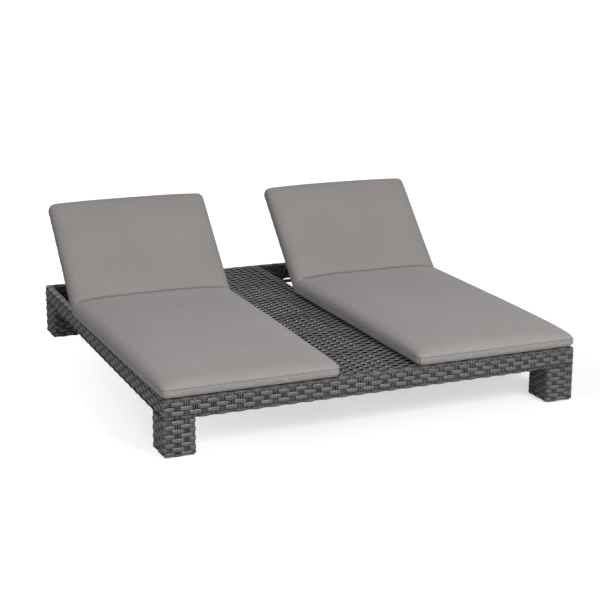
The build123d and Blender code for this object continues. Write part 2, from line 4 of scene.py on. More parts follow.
import bpy
import numpy as np
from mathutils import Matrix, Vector


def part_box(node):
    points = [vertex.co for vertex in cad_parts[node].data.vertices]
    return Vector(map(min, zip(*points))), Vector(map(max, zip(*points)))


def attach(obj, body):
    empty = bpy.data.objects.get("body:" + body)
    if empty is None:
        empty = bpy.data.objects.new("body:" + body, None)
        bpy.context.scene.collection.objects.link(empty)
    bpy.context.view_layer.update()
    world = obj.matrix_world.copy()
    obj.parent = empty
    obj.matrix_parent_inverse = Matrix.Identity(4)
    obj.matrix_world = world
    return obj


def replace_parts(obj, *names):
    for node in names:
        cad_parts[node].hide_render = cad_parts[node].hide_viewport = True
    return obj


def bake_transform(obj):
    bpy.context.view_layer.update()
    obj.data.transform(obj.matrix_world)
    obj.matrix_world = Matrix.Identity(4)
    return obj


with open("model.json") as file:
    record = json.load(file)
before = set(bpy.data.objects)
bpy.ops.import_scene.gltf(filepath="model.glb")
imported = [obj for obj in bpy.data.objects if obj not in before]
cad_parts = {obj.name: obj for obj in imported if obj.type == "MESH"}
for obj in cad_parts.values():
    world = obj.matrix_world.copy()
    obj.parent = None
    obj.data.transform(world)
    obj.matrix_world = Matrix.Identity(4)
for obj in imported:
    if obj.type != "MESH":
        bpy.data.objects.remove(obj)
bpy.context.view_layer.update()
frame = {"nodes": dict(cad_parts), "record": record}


def span(name, axis):
    """Gives where a CAD node starts and ends on an axis at rest, to a tenth of a millimetre."""
    low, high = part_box(name)
    return round(low[axis], 4), round(high[axis], 4)


# Sizes of the object in metres, from the frame
X, Y, Z = range(3)
SIDES = {"left": -1, "right": 1}
HALF_WIDTH = span("right_rail_wicker", X)[1]
HALF_LENGTH = -span("front_rail_wicker", Y)[0]
APRON, DECK = span("front_rail_wicker", Z)
RAIL = round(HALF_WIDTH - span("right_rail_wicker", X)[0], 4)
LEG_X = round(HALF_WIDTH - span("rear_right_leg_wicker", X)[0], 4)
LEG_Y = round(HALF_LENGTH - span("rear_right_leg_wicker", Y)[0], 4)
TABLE = span("table_top_wicker", X)[1]
BEAM_INNER = span("right_table_beam_wicker", X)[0]
DECK_END = span("right_deck_rail_wicker", Y)[1]
DECK_RAIL = span("right_deck_rail_wicker", Z)[0]
BACK_X = span("right_back_wicker", X)
CUSHION_FRONT = span("right_seat_cushion", Y)[0]
recline = next(row for row in frame["record"]["behaviour"]["joints"] if row["name"] == "right_recline")
HINGE_Y, HINGE_Z = recline["pos_m"][Y], recline["pos_m"][Z]
# The low end of the range is flat, so it tells the angle at rest
REST = math.radians(-recline["range_deg"][0])
# The cushion's face over the hinge
CUSHION_FACE = round(span("right_seat_cushion", Z)[1] - HINGE_Z, 4)

# Places that no box gives: the foot of the leg's weave, the backrest's extent in its own slope, and the pads
LEG_FOOT = 0.006
LEG_LIP = 0.028
BACK_U = (-0.030, 0.598)
BACK_THICK = 0.032
BACK_V = (0.016, 0.016 + BACK_THICK)
CUSHION_X = (0.179, 0.972)
CUSHION_HEAD = 0.637

# The weave: rows of flat strands over and under columns, which are pairs of round rods
ROWS = 12
FACE_ROWS = 5
COLUMNS = 50
ROW_PITCH = 0.01895
COLUMN_X = 2 * HALF_WIDTH / COLUMNS
COLUMN_Y = 2 * HALF_LENGTH / COLUMNS
# A strand's width and the rise of its face and back, a rod's radius and the distance of a pair
STRAND = 0.0181
CROWN = 0.0019
STRAND_BACK = 0.0005
ROD = 0.0030
ROD_PAIR = 0.0096
# How deep the middle of the weave lies in the outer faces and in the top
DEPTH = 0.0029
TOP_DEPTH = 0.0080
RAIL_TOP = DECK - TOP_DEPTH
# Half of a strand's swing, the reach of its dives in columns, and how flat it lies between them
SWING = 0.0050
DIVE = 0.25
PLATEAU = 0.7
# Radii of the base's upright corners and of the rails' edges
CORNER = 0.014
EDGE = 0.009
# Shares of painted light and of a strand's rise at the bottom of a dive, and of painted light on edges and
# rods; lower shares are painted shade
DIVE_LIGHT = 0.05
DIVE_RISE = 0.3
EDGE_LIGHT = 0.72
ROD_LIGHT = 0.8
# The strands of the table and the decks are thicker and swing deeper, clear of the backrests, and get more
# painted shade at their edges
TABLE_WIDE = 0.93
TABLE_DEEP = 1.2
TABLE_CROWN = 0.0040
TABLE_BACK = 0.0034
TABLE_SIDE = 0.0064
TABLE_EDGE_LIGHT = 0.28

rng = np.random.default_rng(7)


def unit(v):
    """Scales vectors to length one."""
    return v / np.maximum(np.linalg.norm(v, axis=-1, keepdims=True), 1e-9)


def placed(name, data):
    """Puts a new object into the scene."""
    obj = bpy.data.objects.new(name, data)
    bpy.context.scene.collection.objects.link(obj)
    return obj


def run_lengths(line):
    """Gives how far along a line each of its points lies."""
    return np.concatenate([[0], np.cumsum(np.linalg.norm(np.diff(line, axis=0), axis=1))])


def between(s, run, values):
    """Reads values that go with run lengths at the run lengths s."""
    return np.stack([np.interp(s, run, column) for column in values.T], -1)


class Strands:
    """Collects swept strands and makes one mesh of them."""

    def __init__(self):
        self.points, self.quads, self.uv, self.tone, self.light, self.kind = [], [], [], [], [], []
        self.total = 0

    def sweep(self, path, normal, section, closed=False, kind=0, shift=0.0, height=None, light=None,
              edge_light=EDGE_LIGHT):
        """Sweeps a closed section of (side, normal) offsets along a path, moved sideways by a shift.
        The section's rise may change along the path, and its points and places each have a share of painted
        light, lower where painted shade falls."""
        ahead = np.roll(path, -1, 0) - np.roll(path, 1, 0)
        if not closed:
            ahead[0] = path[1] - path[0]
            ahead[-1] = path[-1] - path[-2]
        normal = unit(normal - unit(ahead) * np.sum(normal * unit(ahead), -1, keepdims=True))
        side = np.cross(normal, unit(ahead))
        path = path + side * shift
        count, around = len(path), len(section)
        rise = np.repeat(section[None, :, 1:], count, 0)
        if height is not None:
            rise = np.where(rise > 0, rise * height[:, None, None], rise)
        ring = path[:, None, :] + side[:, None, :] * section[None, :, :1] + normal[:, None, :] * rise
        self.points.append(ring.reshape(-1, 3))
        # Painted shade: a section's edges get less light, down to edge_light
        glow = np.maximum(section[:, 1] / section[:, 1].max() * (1 - edge_light) + edge_light, 0)
        place_light = np.ones(count) if light is None else light
        self.light.append((place_light[:, None] * glow[None, :]).ravel())
        steps = count if closed else count - 1
        i = np.arange(steps)[:, None]
        j = np.arange(around)[None, :]
        a = i * around + j
        b = i * around + (j + 1) % around
        c = ((i + 1) % count) * around + (j + 1) % around
        d = ((i + 1) % count) * around + j
        self.quads.append(np.stack(np.broadcast_arrays(a, d, c, b), -1).reshape(-1, 4) + self.total)
        run = run_lengths(path)
        across = np.linspace(0, 1, around)
        self.uv.append(np.stack(np.broadcast_arrays(run[:, None], across[None, :]), -1).reshape(-1, 2))
        self.tone.append(np.full(count * around, rng.random()))
        self.kind.append(np.full(steps * around, kind))
        self.total += count * around

    def strand(self, base, normal, count, closed=False, thick=False):
        """Weaves a flat strand that lies on the rods but dives behind every second pair: at the column
        counts 1.5, 3.5 and so on."""
        far = np.abs((count - 0.5) % 2 - 1)
        plateau = 1 - np.exp(-((far / DIVE) ** 3))
        lift = PLATEAU * plateau + (1 - PLATEAU) * (1 - np.cos(math.pi * far)) / 2
        offset = (TABLE_DEEP if thick else 1) * SWING * (2 * lift - 1)
        # Painted shade: the strand's share of light falls to DIVE_LIGHT in its dives
        self.sweep(base + unit(normal) * offset[:, None], normal, THICK if thick else FLAT, closed,
                   height=DIVE_RISE + (1 - DIVE_RISE) * lift, light=DIVE_LIGHT + (1 - DIVE_LIGHT) * lift,
                   edge_light=TABLE_EDGE_LIGHT if thick else EDGE_LIGHT)

    def rods(self, base, normal, closed=False):
        """Lays one pair of rods along a base line."""
        for shift in (-ROD_PAIR / 2, ROD_PAIR / 2):
            # Painted shade: the rods get a lower share of light, ROD_LIGHT
            self.sweep(base, normal, ROUND, closed, kind=1, shift=shift, light=np.full(len(base), ROD_LIGHT))

    def build(self, name, body):
        """Makes the mesh object and rides it on its body."""
        co = np.concatenate(self.points)
        quads = np.concatenate(self.quads)
        uv = np.concatenate(self.uv)
        mesh = bpy.data.meshes.new(name)
        mesh.vertices.add(len(co))
        mesh.vertices.foreach_set("co", co.astype(np.float32).ravel())
        mesh.loops.add(quads.size)
        mesh.loops.foreach_set("vertex_index", quads.astype(np.int32).ravel())
        mesh.polygons.add(len(quads))
        mesh.polygons.foreach_set("loop_start", np.arange(0, quads.size, 4, dtype=np.int32))
        mesh.polygons.foreach_set("material_index", np.concatenate(self.kind).astype(np.int32))
        mesh.polygons.foreach_set("use_smooth", np.ones(len(quads), bool))
        mesh.update(calc_edges=True)
        layer = mesh.uv_layers.new(name="strand")
        layer.data.foreach_set("uv", uv[quads.ravel()].astype(np.float32).ravel())
        # The strands' random tone, and their share of light, which is the painted shade of dives, edges and
        # rods
        for label, values in (("tone", self.tone), ("open", self.light)):
            layer = mesh.attributes.new(label, "FLOAT", "POINT")
            layer.data.foreach_set("value", np.concatenate(values).astype(np.float32))
        for finish in (wicker, wicker_rod):
            mesh.materials.append(finish)
        obj = placed(name, mesh)
        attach(obj, body)
        return obj


def strand_section(width, crown, back, flat):
    """Gives a strand's section: arched outside with a flat part, flatter behind."""
    w = width / 2
    knee = 0.7 + 0.3 * flat
    return np.array([(-w, 0.0), (-knee * w, 0.6 * crown), (-flat * w, 0.97 * crown), (flat * w, 0.97 * crown),
                     (knee * w, 0.6 * crown), (w, 0.0), (0.6 * w, -back), (-0.6 * w, -back)])


def round_section(radius, sides=6):
    """Gives a round section."""
    turn = np.arange(sides) * 2 * math.pi / sides
    return radius * np.stack([-np.cos(turn), np.sin(turn)], -1)


FLAT = strand_section(STRAND, CROWN, STRAND_BACK, 0.5)
THICK = strand_section(STRAND * TABLE_WIDE, TABLE_CROWN, TABLE_BACK, 0.25)
ROUND = round_section(ROD)

# A corner with a wider angle than this, in radians, isn't rounded
STRAIGHT = 3.1


def outline(corners, radius, closed=False, steps=4):
    """Rounds a flat polygon's corners. Gives points, normals to the right of travel, and run lengths."""
    pts, nor = [], []
    corners = [np.array(c, float) for c in corners]
    n = len(corners)
    for k in range(n):
        here = corners[k]
        if not closed and k in (0, n - 1):
            d = unit(corners[1] - here) if k == 0 else unit(here - corners[k - 1])
            pts.append(here)
            nor.append(np.array([d[1], -d[0]]))
            continue
        a = unit(corners[k - 1] - here)
        b = unit(corners[(k + 1) % n] - here)
        angle = math.acos(max(-1, min(1, float(a @ b))))
        if angle > STRAIGHT:
            pts.append(here)
            nor.append(np.array([b[1], -b[0]]))
            continue
        start = here + a * radius / math.tan(angle / 2)
        centre = here + unit(a + b) * radius / math.sin(angle / 2)
        n_in = np.array([-a[1], a[0]])
        n_out = np.array([b[1], -b[0]])
        sign = 1 if float((start - centre) @ n_in) > 0 else -1
        for q in range(steps + 1):
            m = unit(n_in * math.cos(q / steps * math.pi / 2) + n_out * math.sin(q / steps * math.pi / 2))
            pts.append(centre + sign * m * radius)
            nor.append(m)
    if closed:
        pts.append(pts[0])
        nor.append(nor[0])
    pts, nor = np.array(pts), np.array(nor)
    return pts, nor, run_lengths(pts)


def along(path, s):
    """Gives points and normals of an outline at run lengths."""
    pts, nor, run = path
    return between(s, run, pts), unit(between(s, run, nor))


# Where a strand is bent round its dives and round a corner, in columns, and the least step between bends
DIVE_BENDS = (-0.6, -0.4, -0.29, -0.19, -0.1, 0.0, 0.1, 0.19, 0.29, 0.4, 0.6, 1.0)
CORNER_BENDS = np.array([-0.42, -0.32, -0.22, -0.12, 0.0, 0.12, 0.22, 0.32, 0.42])
LEAST_STEP = 0.03


def stitches(first, last, parity, extra=()):
    """Gives the column counts at which a strand is bent: close round the pairs that it dives behind."""
    dives = np.arange(math.floor(first / 2) * 2 - 2, last + 4, 2) + 1.5 - parity
    marks = np.concatenate([(dives[:, None] + np.array(DIVE_BENDS)).ravel(), extra, [first, last]])
    marks = np.unique(np.round(marks[(marks >= first) & (marks <= last)], 4))
    keep = np.append(np.diff(marks) > LEAST_STEP, True)
    keep[0] = True
    return marks[keep]


def stand(p, axis, level):
    """Adds the missing coordinate to the points or directions of a plane."""
    return np.insert(p, axis, level, axis=1)


def back_frame(p, y=HINGE_Y, z=HINGE_Z):
    """Turns (x, u, v) of a backrest to the place where it stands at rest."""
    return np.stack([p[..., 0], y + p[..., 1] * math.cos(REST) - p[..., 2] * math.sin(REST),
                     z + p[..., 1] * math.sin(REST) + p[..., 2] * math.cos(REST)], -1)


def back_turn(n):
    """Turns a direction of a backrest likewise."""
    return back_frame(n, 0, 0)


# Materials
def material(name, build):
    """Makes a node material."""
    m = bpy.data.materials.new(name)
    m.use_nodes = True
    build(m.node_tree, m.node_tree.nodes["Principled BSDF"])
    return m


def fill(n, **values):
    """Sets a node's fields and inputs, and links to them the sockets among the values."""
    for key, value in values.items():
        label = key.replace("_", " ")
        if isinstance(value, bpy.types.NodeSocket):
            n.id_data.links.new(value, n.inputs[label])
        elif label in n.inputs:
            n.inputs[label].default_value = value
        else:
            setattr(n, key, value)
    return n


def node(tree, kind, **values):
    """Adds a node and fills it."""
    return fill(tree.nodes.new(kind), **values)


def feed(n, *sockets, first=0):
    """Links sockets to a node's inputs in their order."""
    for k, socket in enumerate(sockets):
        n.id_data.links.new(socket, n.inputs[first + k])
    return n


def ramp(tree, source, stops):
    """Adds a colour ramp after a socket."""
    r = feed(node(tree, "ShaderNodeValToRGB"), source)
    for element, (at, colour) in zip(r.color_ramp.elements, stops):
        element.position = at
        element.color = (*colour, 1)
    return r.outputs[0]


def bump(tree, shader, height, strength, distance):
    """Adds a bump to the shader."""
    b = node(tree, "ShaderNodeBump", Strength=strength, Distance=distance, Height=height)
    fill(shader, Normal=b.outputs[0])


def weighted(tree, source, factor, rest):
    """Adds source times factor to another socket."""
    m = feed(node(tree, "ShaderNodeMath", operation="MULTIPLY_ADD"), source)
    m.inputs[1].default_value = factor
    return feed(m, rest, first=2).outputs[0]


def strand_look(dark, light, rough):
    """Makes the look of moulded strand: grooves along it, a tone of its own that changes in faint clouds, and
    painted shade in the dark gaps of its dives, at its edges and on the rods.
    """

    def build(tree, shader):
        uv = node(tree, "ShaderNodeUVMap", uv_map="strand")
        stretch = node(tree, "ShaderNodeMapping", Vector=uv.outputs[0], Scale=(18, 9, 1))
        grooves = node(tree, "ShaderNodeTexNoise", Vector=stretch.outputs[0], Scale=1.0, Detail=3.0)
        tone = node(tree, "ShaderNodeAttribute", attribute_name="tone")
        spot = node(tree, "ShaderNodeTexCoord").outputs["Object"]
        cloud = node(tree, "ShaderNodeTexNoise", Vector=spot, Scale=14.0, Detail=4.0)
        mixed = weighted(tree, tone.outputs["Fac"], 0.25, grooves.outputs[0])
        mixed = weighted(tree, cloud.outputs[0], 0.4, mixed)
        # Painted shade: the 'open' attribute darkens the colour in dives, at edges and on rods, and lowers the
        # specular level there
        painted_shade_mask = node(tree, "ShaderNodeAttribute", attribute_name="open")
        painted_shade = node(tree, "ShaderNodeMix", data_type="RGBA", blend_type="MULTIPLY")
        painted_shade.inputs[0].default_value = 1.0
        tint = ramp(tree, mixed, [(0.5, dark), (1.0, light)])
        shade = ramp(tree, painted_shade_mask.outputs["Fac"], [(0.45, (0.01, 0.01, 0.01)), (0.8, (1, 1, 1))])
        feed(painted_shade, tint, shade, first=6)
        gleam = ramp(tree, painted_shade_mask.outputs["Fac"], [(0.45, (0, 0, 0)), (0.85, (0.62, 0.62, 0.62))])
        fill(shader, Base_Color=painted_shade.outputs[2], Roughness=rough, Specular_IOR_Level=gleam)
        bump(tree, shader, grooves.outputs[0], 0.35, 0.0004)

    return build


def cloth_look(dark, light):
    """Makes the look of woven fabric: crossing threads, slubs and a faint change of shade."""

    def build(tree, shader):
        uv = node(tree, "ShaderNodeUVMap", uv_map="cloth").outputs[0]
        both = node(tree, "ShaderNodeMath", operation="ADD")
        for k, turn in enumerate("XY"):
            threads = node(tree, "ShaderNodeTexWave", bands_direction=turn, Vector=uv, Scale=240.0,
                           Distortion=1.0, Detail=2.0)
            feed(both, threads.outputs["Fac"], first=k)
        spot = node(tree, "ShaderNodeTexCoord").outputs["Object"]
        slub = node(tree, "ShaderNodeTexNoise", Vector=uv, Scale=250.0, Detail=3.0)
        cloud = node(tree, "ShaderNodeTexNoise", Vector=spot, Scale=4.0, Detail=3.0)
        mixed = weighted(tree, cloud.outputs[0], 0.45, slub.outputs[0])
        mixed = weighted(tree, both.outputs[0], 0.06, mixed)
        fill(shader, Base_Color=ramp(tree, mixed, [(0.45, dark), (1.05, light)]), Roughness=0.92,
             Sheen_Weight=0.15, Sheen_Roughness=0.5, Specular_IOR_Level=0.15)
        bump(tree, shader, both.outputs[0], 0.2, 0.0003)

    return build


def coat_look(colour, rough, metal, grain):
    """Makes powder coat, plated steel or moulded plastic with fine grain and patchy wear."""

    def build(tree, shader):
        spot = node(tree, "ShaderNodeTexCoord").outputs["Object"]
        fine = node(tree, "ShaderNodeTexNoise", Vector=spot, Scale=grain, Detail=4.0)
        wear = node(tree, "ShaderNodeTexNoise", Vector=spot, Scale=22.0, Detail=5.0)
        low = tuple(c * 0.8 for c in colour)
        high = tuple(min(1, c * 1.2) for c in colour)
        gloss = node(tree, "ShaderNodeMapRange", Value=fine.outputs[0], To_Min=rough - 0.08,
                     To_Max=rough + 0.1)
        fill(shader, Base_Color=ramp(tree, wear.outputs[0], [(0.3, low), (0.7, high)]), Metallic=metal,
             Roughness=gloss.outputs[0])
        bump(tree, shader, fine.outputs[0], 0.15, 0.0003)

    return build


WICKER = ((0.032, 0.0312, 0.0308), (0.069, 0.0676, 0.0668), 0.32)
wicker = material("wicker_strand", strand_look(*WICKER))
wicker_rod = material("wicker_rod", strand_look(*WICKER))
fabric = material("cushion_cloth", cloth_look((0.151, 0.141, 0.137), (0.192, 0.181, 0.176)))
welt = material("cushion_piping", cloth_look((0.070, 0.066, 0.064), (0.090, 0.086, 0.083)))
coat = material("powder_coat", coat_look((0.035, 0.034, 0.033), 0.5, 0.0, 900.0))
bracket = material("bracket_coat", coat_look((0.03, 0.03, 0.031), 0.45, 0.2, 700.0))
steel = material("plated_steel", coat_look((0.5, 0.5, 0.51), 0.32, 1.0, 500.0))
plastic = material("moulded_plastic", coat_look((0.016, 0.016, 0.016), 0.42, 0.0, 600.0))
LOOKS = {"frame_tube": coat, "prop_tube": coat, "steel_bracket": bracket, "bright_steel": steel,
         "nylon": plastic, "glide_plastic": plastic, "woven_wicker": wicker, "cushion_fabric": fabric}
for row in frame["record"]["subparts"]:
    data = frame["nodes"][row["node"]].data
    data.materials.clear()
    data.materials.append(LOOKS[row["material_slot"]])

# Apron: rows round the base, spread over the rails' section, and rods as rings round the section
# Steps of a corner and of the search for a row's place, where the section starts, the upward share above which
# a row counts as level, and the corner radii of level rows and of the sharpest ones
TURN_STEPS = 5
FINE = 4000
SECTION_START = 0.02
LEVEL = 0.7
LEVEL_RADIUS = 0.010
LEAST_RADIUS = 0.004


def box_loop(x0, y0, x1, y1, depth, radius, spans):
    """Gives a box's outline inside its faces by a depth, with marks that tie run lengths to column counts.
    Spans are the columns and the size of the four sides, from the corner (x0, y0) on."""
    sx, sy = math.copysign(depth, x1 - x0), math.copysign(depth, y1 - y0)
    corners = [(x0 + sx, y0 + sy), (x1 - sx, y0 + sy), (x1 - sx, y1 - sy), (x0 + sx, y1 - sy)]
    path = outline(corners, radius, True, TURN_STEPS)
    run = path[2]
    first = run[TURN_STEPS] / 2
    marks_s, marks_c, count = [first], [0.0], 0.0
    for k, (columns, size) in enumerate(spans):
        inset = (radius + depth) * columns / size
        side_end = run[(k + 1) * (TURN_STEPS + 1)] if k < 3 else run[-1]
        marks_s += [run[k * (TURN_STEPS + 1) + TURN_STEPS], side_end]
        marks_c += [count + inset, count + columns - inset]
        count += columns
    return path, np.array(marks_s + [run[-1] + first]), np.array(marks_c + [count])


def loop_points(loop, counts):
    """Gives the points and outward normals of a box loop at column counts."""
    path, marks_s, marks_c = loop
    return along(path, np.interp(counts, marks_c, marks_s) % path[2][-1])


def rail_section():
    """Gives the rails' section as an outline of (depth, height), up the outer face.
    Its normals are to the left of travel, so they are turned about."""
    inner_depth, foot = RAIL - DEPTH, APRON + DEPTH
    pts, nor, run = outline([(DEPTH, APRON + SECTION_START), (DEPTH, RAIL_TOP), (inner_depth, RAIL_TOP),
                             (inner_depth, foot), (DEPTH, foot)], EDGE, True)
    return pts, -nor, run


def row_runs(total):
    """Gives the rows' run lengths from the middle of the outer face: even on it, and even on the rest."""
    face = [(k - 2) * ROW_PITCH for k in range(FACE_ROWS)]
    rest = [(FACE_ROWS / 2) * ROW_PITCH + (k + 0.5) * (total - FACE_ROWS * ROW_PITCH) / (ROWS - FACE_ROWS)
            for k in range(ROWS - FACE_ROWS)]
    return face + rest


def ring(section, place):
    """Gives a rod's ring round the rails' section, placed by a function of depth and height."""
    p, n = section[0][:-1], section[1][:-1]
    return place(p[:, 0], p[:, 1]), place(n[:, 0], n[:, 1]) - place(0 * n[:, 0], 0 * n[:, 1])


def weave_apron():
    """Weaves the apron round all four sides of the base."""
    apron = Strands()
    section = rail_section()
    total = section[2][-1]
    places, normals = along(section, np.arange(FINE) * total / FINE)
    off_middle = np.abs(places[:, 1] - (APRON + DECK) / 2) + 10 * np.abs(places[:, 0] - DEPTH)
    start = int(np.argmin(off_middle))
    spans = [(COLUMNS, 2 * HALF_WIDTH), (COLUMNS, 2 * HALF_LENGTH)] * 2
    turns = np.concatenate([k * COLUMNS + CORNER_BENDS for k in range(5)])
    for k, at in enumerate(row_runs(total)):
        spot = (start + int(round(at / total * FINE))) % FINE
        depth, height = places[spot]
        inward, up = normals[spot]
        radius = LEVEL_RADIUS if abs(up) > LEVEL else max(CORNER - depth, LEAST_RADIUS)
        loop = box_loop(-HALF_WIDTH, -HALF_LENGTH, HALF_WIDTH, HALF_LENGTH, depth, radius, spans)
        counts = stitches(0, 4 * COLUMNS, k % 2, turns)[:-1]
        p, outward = loop_points(loop, counts)
        normal = stand(-inward * outward, Z, up)
        apron.strand(stand(p, Z, height), normal, counts + k % 2, closed=True)
    middles = np.arange(-COLUMNS // 2, COLUMNS // 2) + 0.5
    for sign in (-1, 1):
        for x in middles * COLUMN_X:
            apron.rods(*ring(section, lambda d, z: np.column_stack([0 * d + x, sign * (HALF_LENGTH - d), z])),
                       closed=True)
        for y in middles * COLUMN_Y:
            apron.rods(*ring(section, lambda d, z: np.column_stack([sign * (HALF_WIDTH - d), 0 * d + y, z])),
                       closed=True)
    rail_nodes = [f"{side}_rail_wicker" for side in ("front", "rear", "left", "right")]
    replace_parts(apron.build("apron_weave", "base"), *rail_nodes)


weave_apron()

# Legs: the apron's rows and rods go on down to a rounded foot. The inner faces have even columns
LEG_COLUMNS = 16
LEG_ROWS = 8
LEG_LEAST_RADIUS = 0.006
ROD_LAP = 0.004
# Height over the foot, depth and turn downwards of the two rows that close the foot
LEG_HEMS = ((0.0045, 0.0052, -0.62), (DEPTH, 0.0215, -1.0))
outer_x, outer_y = LEG_X / COLUMN_X, LEG_Y / COLUMN_Y
inner = (LEG_COLUMNS - outer_x - outer_y) / (LEG_X + LEG_Y)
LEG_SPANS = [(outer_x, LEG_X), (inner * LEG_Y, LEG_Y), (inner * LEG_X, LEG_X), (outer_y, LEG_Y)]
LEG_CORNERS = np.cumsum([0] + [columns for columns, size in LEG_SPANS])
LEG_TURNS = np.concatenate([c + CORNER_BENDS for c in LEG_CORNERS])


def weave_leg(name, sx, sy):
    """Weaves one leg, its columns counted from the base's corner as the apron's are."""
    book = Strands()
    hand = 1 if sx * sy > 0 else -1
    first_row = FACE_ROWS // 2 + 1
    heights = [((APRON + DECK) / 2 - (k + first_row) * ROW_PITCH, DEPTH, 0.0) for k in range(LEG_ROWS)]
    heights += [(LEG_FOOT + over, depth, up) for over, depth, up in LEG_HEMS]
    corner = (sx * HALF_WIDTH, sy * HALF_LENGTH)
    far = (sx * (HALF_WIDTH - LEG_X), sy * (HALF_LENGTH - LEG_Y))
    for k, (z, depth, up) in enumerate(heights):
        loop = box_loop(*corner, *far, depth, max(CORNER - depth, LEG_LEAST_RADIUS), LEG_SPANS)
        parity = (k + 1) % 2
        counts = stitches(0, LEG_COLUMNS, parity if hand > 0 else 1 - parity, LEG_TURNS)[:-1]
        p, outward = loop_points(loop, counts)
        normal = stand(hand * outward * (1 - up * up) ** 0.5, Z, up)
        book.strand(stand(p, Z, z), normal, hand * counts + parity, closed=True)
    loop = box_loop(*corner, *far, 0.0, CORNER, LEG_SPANS)
    foot = LEG_FOOT + DEPTH
    drop, drop_normal, _ = outline([(DEPTH, APRON + ROD_LAP), (DEPTH, foot), (LEG_LIP, foot)], EDGE)
    places, outwards = loop_points(loop, np.arange(LEG_COLUMNS) + 0.5)
    for place, outward in zip(places, hand * outwards):
        points = np.column_stack([place - drop[:, :1] * outward, drop[:, 1]])
        normal = np.column_stack([-drop_normal[:, :1] * outward, drop_normal[:, 1]])
        book.rods(points, normal)
    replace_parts(book.build(f"{name}_leg_weave", "base"), f"{name}_leg_wicker")


for end, sy in (("front", -1), ("rear", 1)):
    for side, sx in SIDES.items():
        weave_leg(f"{end}_{side}", sx, sy)

# Table: strands across the top and round both beams, rods along it. The decks' strands have the same pitch
TABLE_ROWS = 98
TABLE_PITCH = 2 * (HALF_LENGTH - RAIL / 2) / (TABLE_ROWS + 1)
BEAM_TOP = 0.238
ROD_POINTS = 9
REACH = HALF_LENGTH - RAIL


def weave_table():
    """Weaves the table, from inside one beam over the top to inside the other."""
    table = Strands()
    foot, side_x, inner_x = APRON + DEPTH, TABLE - TABLE_SIDE, BEAM_INNER + DEPTH
    path = outline([(inner_x, BEAM_TOP), (inner_x, foot), (side_x, foot), (side_x, RAIL_TOP),
                    (-side_x, RAIL_TOP), (-side_x, foot), (-inner_x, foot), (-inner_x, BEAM_TOP)], EDGE)
    total = path[2][-1]
    half = total / 2 / COLUMN_X
    edges = np.array([side_x / COLUMN_X, (TABLE + DECK - APRON) / COLUMN_X])
    turns = np.concatenate([e + CORNER_BENDS for e in (-edges[1], -edges[0], edges[0], edges[1])])
    for k in range(TABLE_ROWS):
        y = (k - (TABLE_ROWS - 1) / 2) * TABLE_PITCH
        counts = stitches(-half, half, k % 2, turns)[::-1]
        p, n = along(path, total / 2 - counts * COLUMN_X)
        table.strand(stand(p, Y, y), stand(n, Y, 0), counts + k % 2, thick=True)
    for k in range(-COLUMNS // 2, COLUMNS // 2):
        spot = np.array([total / 2 - (k + 0.5) * COLUMN_X])
        if 0 < spot[0] < total:
            p, n = along(path, spot)
            line = np.array([(p[0, 0], y, p[0, 1]) for y in np.linspace(-REACH, REACH, ROD_POINTS)])
            table.rods(line, np.array([n[0, 0], 0, n[0, 1]]))
    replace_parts(table.build("table_weave", "base"),
                "table_top_wicker", "left_table_beam_wicker", "right_table_beam_wicker")


def weave_deck(side, sx):
    """Weaves one seat deck: strands across, rods along the sheet and round the deck rail."""
    deck = Strands()
    rail_y, end_y, foot = DECK_END - RAIL, DECK_END - DEPTH, DECK_RAIL + DEPTH
    path = outline([(rail_y, foot), (end_y, foot), (end_y, RAIL_TOP), (-REACH, RAIL_TOP)], EDGE)
    total = path[2][-1]
    deck_rows = int(round(total / TABLE_PITCH))
    for k in range(deck_rows):
        parity = (deck_rows - 1 - k) % 2
        p, n = along(path, np.array([(k + 0.5) * total / deck_rows]))
        ends = sorted((sx * TABLE / COLUMN_X, sx * (HALF_WIDTH - RAIL) / COLUMN_X))
        counts = stitches(*ends, parity)
        base = counts[:, None] * [COLUMN_X, 0, 0] + [0, *p[0]]
        deck.strand(base, np.array([0, *n[0]]), counts + parity, thick=True)
    for k in range(COLUMNS // 2):
        x = sx * (k + 0.5) * COLUMN_X
        if TABLE < abs(x) < HALF_WIDTH - RAIL:
            deck.rods(stand(path[0], X, x), stand(path[1], X, 0))
    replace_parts(deck.build(f"{side}_deck_weave", "base"),
                f"{side}_seat_deck_wicker", f"{side}_deck_rail_wicker")


weave_table()
for side, sx in SIDES.items():
    weave_deck(side, sx)

# Backrests: their weave keeps clear of the table and the rails when they lie flat
BACK_SIDE = 0.0068
BACK_COLUMNS = 38
BACK_ROWS = 34
BACK_RODS = 9
END_ROW_SHARES = (0.27, 0.73)
SIDE_ROD_POINTS = 5


